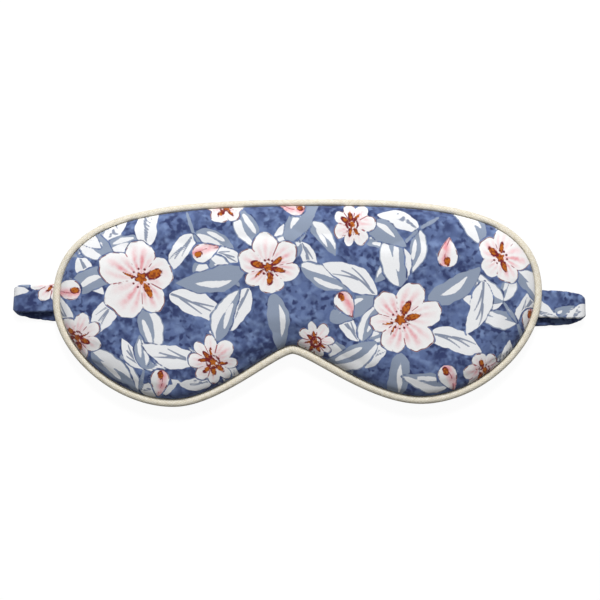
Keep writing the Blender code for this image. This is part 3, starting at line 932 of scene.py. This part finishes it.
SPRAYS = [       # x, y, direction, step of the stem, its curl at each step, length of a leaf
    (-104, 22, -6, 11, 12, 20), (-47, 40, -72, 11, 14, 19), (9, 44, -105, 10, -14, 18),
    (62, 36, -150, 11, 12, 19), (22, -38, 82, 11, -10, 19), (98, -20, 112, 11, 12, 20),
    (-72, -46, 64, 10, 12, 18), (-20, -44, 150, 10, -12, 17), (76, -44, 30, 10, 14, 17),
]
LEAVES = [       # x, y, direction, length, width, tone, bend
    (-78, 20, 140, 28, 10.5, "two", 2), (-76, 14, 205, 27, 9.5, "grey", -2),
    (-64, 24, 78, 24, 9.5, "white", 2), (-54, 4, -28, 28, 10.5, "white", 2),
    (-66, 0, -78, 26, 10, "two", 2), (-74, 4, -128, 24, 9, "white", -1),
    (-22, 14, 190, 30, 10.5, "grey", 2), (-16, 24, 118, 22, 9.5, "two", 1),
    (-4, 26, 52, 24, 9.5, "grey", 1), (2, 16, -20, 28, 9.5, "two", -2),
    (-20, 6, -132, 28, 10, "white", 2), (-10, 4, -84, 26, 9, "grey", 1),
    (34, 2, 148, 27, 10, "white", -2), (44, 6, 96, 27, 10.5, "two", 2), (56, 0, 32, 27, 10, "grey", -2),
    (56, -14, -24, 26, 9.5, "white", 2), (34, -18, -158, 27, 10, "two", 2),
    (44, -22, -100, 24, 9, "grey", 1), (88, 26, 62, 20, 9, "white", 1), (80, 24, 128, 24, 9.5, "two", -2),
    (94, 12, -48, 26, 9.5, "two", 2), (80, 8, -110, 24, 9, "white", 2), (96, 20, 4, 20, 8.5, "grey", 1),
    (-34, -16, 66, 24, 9, "two", 2), (-42, -24, 164, 25, 9.5, "white", 2),
    (-30, -32, -60, 20, 9, "grey", 1), (-96, -10, 120, 22, 8.5, "white", 1),
    (-88, -20, -40, 24, 9, "two", 1), (-100, -20, -150, 22, 8.5, "grey", 1),
    (14, -8, 24, 24, 9, "grey", 1), (66, -36, 170, 22, 8.5, "two", 1), (28, 34, -30, 22, 8.5, "grey", 1),
    (-104, 36, -30, 24, 9, "white", 1),
]
BUDS = [         # x, y, direction, length
    (-92, 6, 175, 13), (-44, 20, 20, 12), (64, 14, 84, 13), (18, 4, -62, 12), (62, -28, -64, 12),
    (-58, -28, -100, 12), (4, 40, 170, 11), (100, -4, -90, 12),
]
BLOSSOMS = [     # x, y, radius, petals, turn, depth, blush, lean, frill
    (-66, 11, 16.5, 5, 15, 0.34, 1.0, 0.18, 0.012), (-12, 15, 13, 6, 40, 0.30, 0.9, 0.15),
    (44, -8, 15.5, 6, 10, 0.36, 1.0, 0.16, 0.015), (87, 18, 11.5, 5, 75, 0.30, 0.9, 0.18),
    (-36, -25, 10.5, 8, 0, 0.40, 0.8, 0.10), (-94, -14, 10, 7, 25, 0.36, 0.8, 0.12),
    (24, 33, 9.5, 7, 50, 0.40, 0.7, 0.10), (80, -30, 9, 6, 0, 0.30, 0.8, 0.15),
    (8, -17, 8, 8, 10, 0.42, 0.6, 0.10), (-30, 41, 8.5, 5, 20, 0.30, 0.8, 0.15),
    (-106, 46, 10, 6, 20, 0.3, 0.8, 0.1),
]
print("sprays", len(SPRAYS), "leaves", len(LEAVES), "buds", len(BUDS), "blossoms", len(BLOSSOMS))

# %% [markdown]
# ## Print the cloth
# The panel is cut from the printed cloth, so its own flat place is the place on the print. The
# strap is cut from the same cloth, so the print runs along it and round its edge.

# %% Attributes with the ink distances
INKS = {"leaf_ink": ("shade", "white", "vein"), "flower_ink": ("flower", "amber", "dots"),
        "petal_ink": ("pink", "gap", "bloom")}
STRAP_PRINT = {"left": (15.0, 40.0), "right": (115.0, 35.0), "middle": (60.0, 30.0)}   # where each was cut


def print_cloth(piece, points):
    """Draws the whole print for points of the cloth in mm, and keeps it as attributes of the piece."""
    cloth = blank_cloth(len(points))
    for motif, rows in ((spray, SPRAYS), (leaf, LEAVES), (bud, BUDS), (blossom, BLOSSOMS)):
        for row in rows:
            motif(cloth, points, *row)
    for name, keys in INKS.items():
        ink = piece.data.attributes.new(name, "FLOAT_VECTOR", "POINT")
        values = np.stack([cloth[key] for key in keys], 1)
        ink.data.foreach_set("vector", values.astype(np.float32).ravel())
    print(piece.name, "share under leaves", round(float((cloth["shade"] > 0).mean()), 2),
          "and under flowers", round(float((cloth["flower"] > 0).mean()), 2))


print_cloth(front, (vertex_places(front)[:, :2] - (MIDDLE_X, 0)) / MM)
for key, band in casings.items():
    at, flat = on_flat[key]
    across = flat[:, 1] / MM
    unrolled = np.where(flat[:, 2] >= 0, across, CASING_WIDTH / MM - across)
    print_cloth(band, np.stack((at / MM, unrolled), 1) + STRAP_PRINT[key])

# %% [markdown]
# ### Cloth has a back
# The print is on one side only, but the thin edge shows at the seam. Solidify gives each piece its
# thickness inwards, after the print, so that the inner layer takes over the attributes.

# %% Thickness of the printed pieces
for piece, thickness in ((front, PANEL_CLOTH), *((band, BIAS_CLOTH) for band in casings.values())):
    give_thickness(piece, thickness)
    shade_smooth(piece)
    describe(piece)

# %% [markdown]
# ## Materials
# Each finish is a small node tree. One function adds any node, with its settings and with values
# or links for its inputs, and another starts a material for cloth, which is all there is here.

# %% Node and colour helpers
def linear(hex_colour):
    """sRGB hex to the linear values that Blender works with."""
    channels = [int(hex_colour[k:k + 2], 16) / 255 for k in (1, 3, 5)]
    return tuple(c / 12.92 if c <= 0.04045 else ((c + 0.055) / 1.055) ** 2.4 for c in channels) + (1.0,)


def add_node(tree, kind, inputs=(), **settings):
    """Adds a node. A node or a socket that is given for an input is linked to it."""
    node = tree.nodes.new("ShaderNode" + kind)
    for key, value in settings.items():
        setattr(node, key, value)
    for key, value in inputs.items() if isinstance(inputs, dict) else enumerate(inputs):
        if isinstance(value, bpy.types.Node):
            value = next(socket for socket in value.outputs if socket.enabled)
        if isinstance(value, bpy.types.NodeSocket):
            tree.links.new(value, node.inputs[key])
        else:
            node.inputs[key].default_value = value
    return node


def cloth_material(name, roughness, sheen):
    """A dull cloth. Gives the material, its tree, its shader and the place on the piece in mm."""
    material = bpy.data.materials.new(name)
    material.use_nodes = True
    tree = material.node_tree
    shader = tree.nodes["Principled BSDF"]
    shader.inputs["Roughness"].default_value = roughness
    shader.inputs["IOR"].default_value = 1.5
    shader.inputs["Specular IOR Level"].default_value = 0.25
    shader.inputs["Sheen Weight"].default_value = sheen
    shader.inputs["Sheen Roughness"].default_value = 0.5
    place = add_node(tree, "TexCoord").outputs["Object"]
    in_mm = add_node(tree, "VectorMath", {0: place, "Scale": 1 / MM}, operation="SCALE")
    return material, tree, shader, in_mm


def put_on(piece, material):
    piece.data.materials.clear()
    piece.data.materials.append(material)
    print(piece.name, "is", material.name)


# %% [markdown]
# ### The weave
# A plain weave goes over and under in both directions. Two waves at right angles, multiplied, give
# its height: 1 where a thread lies on top and 0 between the threads. It is bumped and not modelled,
# because its threads are a fraction of a millimetre thick. A wave texture has one wave in 0.314
# units at a scale of 1, which is how a thread spacing in mm becomes its scale.

# %% A plain weave as bump
WAVE_LENGTH, THREAD_HEIGHT = 0.314, 0.1 * MM


def weave_bump(tree, in_mm, shader, pitch, strength, turn=0.0):
    turned = add_node(tree, "Mapping", {"Vector": in_mm, "Rotation": (0, 0, turn)})
    inputs = {"Vector": turned, "Scale": WAVE_LENGTH / pitch, "Distortion": 0.6, "Detail": 1.0}
    warp, weft = (add_node(tree, "TexWave", inputs, bands_direction=way).outputs["Fac"] for way in "XY")
    woven = add_node(tree, "Math", (warp, weft), operation="MULTIPLY")
    bump = add_node(tree, "Bump", {"Height": woven, "Strength": strength, "Distance": THREAD_HEIGHT})
    tree.links.new(bump.outputs[0], shader.inputs["Normal"])
    return woven


# %% [markdown]
# ### Printed cotton
# Cotton lawn is a fine plain weave, dull, with a little sheen at a slant. The inks soak in, so
# their edges are slightly uneven. The ground is washed in two blues with soft dabs 1 to 3 mm wide.
# Threads are about 0.15 mm apart, finer than the render shows, so the weave is drawn at 0.5 mm.
# The screens of the print follow each other as they do on the real cloth, the darkest ink last.

# %% The screens of the print
GROUND, GROUND_DARK, GROUND_LIGHT = "#5C6E9A", "#2E3963", "#7488B2"
LEAF_GREY, INK_WHITE, VEIN_GREY = "#8D99AE", "#ECEDEF", "#8790A4"
PETAL_WHITE, BLUSH, AMBER, BURNT_AMBER = "#F0F0F0", "#E6969F", "#B8651B", "#8A3F16"
MAROON, FOLD_RED = "#6E1A24", "#A2545F"
THREAD_PITCH = 0.5                   # mm, drawn coarser than the real 0.15


def printed_cotton(name):
    material, tree, shader, in_mm = cloth_material(name, 0.85, 0.10)
    marks = {}
    for attribute, keys in INKS.items():
        ink = add_node(tree, "Attribute", attribute_name=attribute).outputs["Vector"]
        marks.update(zip(keys, add_node(tree, "SeparateXYZ", (ink,)).outputs))
    soaked = add_node(tree, "TexNoise", {"Vector": in_mm, "Scale": 0.5, "Detail": 1.0})
    ragged = add_node(tree, "Math", (soaked, 0.6, -0.3), operation="MULTIPLY_ADD")     # mm that ink runs

    def slope(value, soft):
        """0 below and 1 above nought, with a soft step of the given half width."""
        return add_node(tree, "Math", (value, 0.5 / soft, 0.5), operation="MULTIPLY_ADD", use_clamp=True)

    def inside(mark, edge=ragged):
        return slope(add_node(tree, "Math", (mark, edge), operation="ADD"), 0.12)

    def line(mark, half_width, middle=0.0):
        """A line drawn where a mark is nought, or at another distance in mm."""
        beside = add_node(tree, "Math", (mark, middle), operation="SUBTRACT")
        away = add_node(tree, "Math", (beside,), operation="ABSOLUTE")
        return slope(add_node(tree, "Math", (half_width, away), operation="SUBTRACT"), 0.1)

    def patches(per_mm, level, soft=0.04, detail=2.0):
        """Uneven places, for ink that a worn brush has left out."""
        spots = add_node(tree, "TexNoise", {"Vector": in_mm, "Scale": per_mm, "Detail": detail})
        return slope(add_node(tree, "Math", (spots, level), operation="SUBTRACT"), soft)

    def print_ink(colour, ink, *coverages):
        """One screen: its ink lies where every coverage is 1."""
        share = coverages[0]
        for coverage in coverages[1:]:
            share = add_node(tree, "Math", (share, coverage), operation="MULTIPLY")
        return add_node(tree, "Mix", {0: share, 6: colour, 7: linear(ink)}, data_type="RGBA")

    colour = print_ink(linear(GROUND_LIGHT), GROUND, patches(0.26, 0.44, 0.10, 1.5))
    colour = print_ink(colour, GROUND_DARK, patches(0.10, 0.49, 0.16, 1.0), patches(0.36, 0.48, 0.12, 1.2))
    colour = print_ink(colour, GROUND_DARK, patches(0.50, 0.56, 0.08, 0.6), patches(0.16, 0.47, 0.08, 1.0))
    colour = print_ink(colour, LEAF_GREY, inside(marks["shade"]))
    colour = print_ink(colour, INK_WHITE, inside(marks["white"]))
    colour = print_ink(colour, VEIN_GREY, inside(marks["vein"], 0.0), inside(marks["white"], -0.3))
    bloom = inside(marks["flower"])
    colour = print_ink(colour, PETAL_WHITE, bloom)
    colour = print_ink(colour, BLUSH, bloom, marks["pink"], patches(0.5, 0.32, 0.3))
    outer = slope(add_node(tree, "Math", (marks["bloom"], 0.45), operation="SUBTRACT"), 0.06)
    colour = print_ink(colour, FOLD_RED, bloom, outer, line(marks["gap"], 0.22), patches(0.3, 0.5))
    colour = print_ink(colour, MAROON, bloom, line(marks["flower"], 0.24, 0.12), patches(0.22, 0.52))
    centre = inside(marks["amber"])
    colour = print_ink(colour, AMBER, bloom, centre)
    colour = print_ink(colour, BURNT_AMBER, bloom, centre, patches(0.8, 0.53))
    colour = print_ink(colour, MAROON, bloom, line(marks["amber"], 0.26), patches(0.45, 0.5))
    colour = print_ink(colour, MAROON, bloom, inside(marks["dots"]))
    worn = add_node(tree, "TexNoise", {"Vector": in_mm, "Scale": 2.5, "Detail": 2.0})
    faded = add_node(tree, "Math", (worn, 0.16, 0.92), operation="MULTIPLY_ADD")
    washed = add_node(tree, "VectorMath", {0: colour, "Scale": faded}, operation="SCALE")
    tree.links.new(washed.outputs[0], shader.inputs["Base Color"])
    weave_bump(tree, in_mm, shader, THREAD_PITCH, 0.35)
    return material


cotton_print = printed_cotton("printed_cotton_lawn")
for piece in (front, *casings.values()):
    put_on(piece, cotton_print)

# %% [markdown]
# ### The other cloths
# The back is plain cotton in the ground's blue. The piping is cream cotton cut on the bias, so its
# threads cross the bead at a slant. Inside are wadding, a black lining, a cord and elastic. They
# are all woven or spun, so one tree of threads and slubs does for all, each at its own pitch, with
# shade painted into the low places between the threads.

# %% Plain cottons
def plain_cotton(name, base, shade_between_threads, roughness, sheen, pitch, turn, strength, attribute=None):
    """base is the colour on the threads; the darker colour is painted shade between them. pitch is the thread
    spacing in mm.
    """
    material, tree, shader, in_mm = cloth_material(name, roughness, sheen)
    if attribute:
        in_mm = add_node(tree, "Attribute", attribute_name=attribute).outputs["Vector"]
    woven = weave_bump(tree, in_mm, shader, pitch, strength, turn)
    slub = add_node(tree, "TexNoise", {"Vector": in_mm, "Scale": 0.8, "Detail": 4.0})
    # the weave's low places take the darker colour, as painted shade between the threads; the slubs vary it
    # at random
    share = add_node(tree, "Math", (woven, 0.35, slub), operation="MULTIPLY_ADD", use_clamp=True)
    spread = add_node(tree, "MapRange", (share, 0.35, 0.85))
    colour = add_node(tree, "Mix", {0: spread, 6: linear(shade_between_threads), 7: linear(base)}, data_type="RGBA")
    tree.links.new(colour.outputs[2], shader.inputs["Base Color"])
    return material


# the second colour of each cloth is the painted shade between its threads
# plain weave cotton, matt: slate blue with a fine grain, drawn at 0.5 mm instead of 0.2
back_cotton = plain_cotton("plain_weave_cotton", "#4A5A8C", "#3C4B7A", 0.88, 0.12, 0.5, 0.0, 0.4)
# bias-cut cotton: cream, with slanting threads drawn at 0.9 mm instead of 0.25 so that they show
piping_cotton = plain_cotton("bias_cut_cotton", "#EFEADE", "#D8CEB5", 0.82, 0.15, 0.9, math.radians(52), 0.7,
                             "strip_mm")
# polyester wadding: white, loose and fluffy, so rough with a strong sheen and no clear thread
wadding_fibre = plain_cotton("polyester_wadding", "#F2F1EE", "#DCDBD6", 0.95, 0.4, 1.5, 0.4, 0.8)
# blackout lining: a close black weave that lets no light through
lining_cloth = plain_cotton("blackout_lining", "#17171A", "#0C0C0E", 0.8, 0.1, 0.5, 0.0, 0.4)
# twisted cotton cord: undyed, its strands at a slant of 0.8 mm
cord_cotton = plain_cotton("twisted_cotton_cord", "#ECE7DB", "#CFC7B5", 0.9, 0.2, 0.8, 0.6, 0.8)
# woven elastic: white rubber threads under polyester, in ribs 0.9 mm apart, a little shinier
elastic_webbing = plain_cotton("woven_elastic", "#E9E9E6", "#C9C9C4", 0.7, 0.1, 0.9, 0.0, 0.8)
for piece, material in ((back, back_cotton), (piping, piping_cotton), (cord, cord_cotton),
                        (wadding, wadding_fibre), (lining, lining_cloth),
                        (elastics["left"], elastic_webbing), (elastics["right"], elastic_webbing)):
    put_on(piece, material)
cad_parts["strap_run_elastic"].material_slots[0].material = elastic_webbing

# %% [markdown]
# ## What moves with what
# The mask lifts off the part of its strap that lies flat. The panels and the piping ride on the
# mask. The strap's ends lie between the two, sewn to the mask at one end and flat at the other,
# and are attached to neither.

# %% Bodies and replaced nodes
on_mask = [(front, "front_panel", "printed_cotton"), (wadding, "wadding", "wadding"),
           (lining, "blackout_lining", "blackout_cloth"), (back, "back_panel", "back_cotton"),
           (piping, "piping_cover", "piping_cotton"), (cord, "piping_cord", "cord_cotton")]
for piece, node, slot in on_mask:
    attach(piece, "mask")
    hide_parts(node)
for key, side in (("left", -1), ("right", 1)):
    strap_end = ((casings[key], "casing", "strap_cotton"), (elastics[key], "elastic", "elastic"))
    for piece, part, slot in strap_end:
        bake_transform(piece)
        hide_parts(f"{key}_strap_{part}")
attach(casings["middle"], "strap")
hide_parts("strap_run_casing")
print("pieces on the mask", len(on_mask), "strap ends", 2 * len(elastics), "and one middle run")

# %% [markdown]
# ## Table, light and camera
# The photograph is a cut-out on white, taken from straight above with light from beyond the brow.
# A table lit until it were white would burn out the mask, so table and room turn white only for
# the camera's rays, the table in part, so that it keeps a faint shadow.

# %% The white table
TABLE_Z = -0.1 * MM                               # just under the strap, so that the two don't touch
TABLE_GREY = "#ACACAC"                            # what the lamps light, pale and dull
GLOW_SHARE, GLOW = 0.80, 1.18                     # share of it that glows for the camera, and how brightly


def rays_of_the_eye(tree):
    """1 for what the camera sees, also in a mirror or through glass, and 0 for light on the mask."""
    rays = add_node(tree, "LightPath").outputs
    seen = add_node(tree, "Math", (rays["Is Camera Ray"], rays["Is Glossy Ray"]), operation="MAXIMUM")
    return add_node(tree, "Math", (seen, rays["Is Transmission Ray"]), operation="MAXIMUM")


deselect_all()
bpy.ops.mesh.primitive_plane_add(size=3.0, location=(0, 0, TABLE_Z))
table = bpy.context.object
table.name = "table_top"
table_paint = bpy.data.materials.new("white_laminate")
table_paint.use_nodes = True
tree = table_paint.node_tree
lit = tree.nodes["Principled BSDF"]
lit.inputs["Base Color"].default_value = linear(TABLE_GREY)
lit.inputs["Roughness"].default_value = 0.6
share = add_node(tree, "Math", (rays_of_the_eye(tree), GLOW_SHARE), operation="MULTIPLY")
white = add_node(tree, "Emission", ((1, 1, 1, 1), GLOW))
mixed = add_node(tree, "MixShader", (share, lit, white))
tree.links.new(mixed.outputs[0], tree.nodes["Material Output"].inputs[0])
put_on(table, table_paint)

# %% [markdown]
# ### Room and lamps
# The photograph's shadows are short and fall towards the nose. A softbox beyond the brow makes them,
# a larger and weaker one above opens them, and the room adds a little light from everywhere.

# %% Room and lamps
ROOM_LIGHT, ROOM_SEEN = 0.10, 1.0                 # strength as light, and as the white that is seen
LAMPS = {"softbox_brow": ((0.05, 0.80, 0.89), 0.35, 15.2),       # place and size in m, power in W
         "softbox_above": ((-0.35, 0.1, 1.2), 0.8, 1.3)}

world = bpy.data.worlds.new("soft_room")
world.use_nodes = True
tree = world.node_tree
backdrop = tree.nodes["Background"]
backdrop.inputs["Color"].default_value = (1, 1, 1, 1)
strength = add_node(tree, "MapRange", (rays_of_the_eye(tree), 0, 1, ROOM_LIGHT, ROOM_SEEN))
tree.links.new(strength.outputs[0], backdrop.inputs["Strength"])
bpy.context.scene.world = world
for name, (place, size, power) in LAMPS.items():
    deselect_all()
    bpy.ops.object.light_add(type="AREA", location=place)
    lamp = bpy.context.object
    lamp.name = lamp.data.name = name
    lamp.data.size, lamp.data.energy = size, power
    lamp.rotation_euler = (-Vector(place)).to_track_quat("-Z", "Y").to_euler()      # faces the mask
    print(name, "at", place, "gives", power, "W")

# %% [markdown]
# ### Camera
# The mask is seen from straight above, a fraction of a degree aslant. The lens is long, as for a
# product picture, and the distance follows from the width that the photograph shows.

# %% Camera straight above
VIEW_CENTRE = Vector((0.40 * MM, 0.93 * MM, 7 * MM))
VIEW_WIDTH = 258.5 * MM                           # what the frame shows at the height of the mask
VIEW_TURN = math.radians(-0.693)
FOCAL, SENSOR = 85.0, 36.0
distance = VIEW_WIDTH * FOCAL / SENSOR

deselect_all()
bpy.ops.object.camera_add(location=VIEW_CENTRE + Vector((0, 0, distance)), rotation=(0, 0, VIEW_TURN))
camera = bpy.context.object
camera.data.lens, camera.data.sensor_width = FOCAL, SENSOR
camera.data.clip_start, camera.data.clip_end = 0.01, 10
bpy.context.scene.camera = camera
bpy.context.scene.view_settings.view_transform = "Standard"
print("camera", round(distance, 3), "m above the mask")
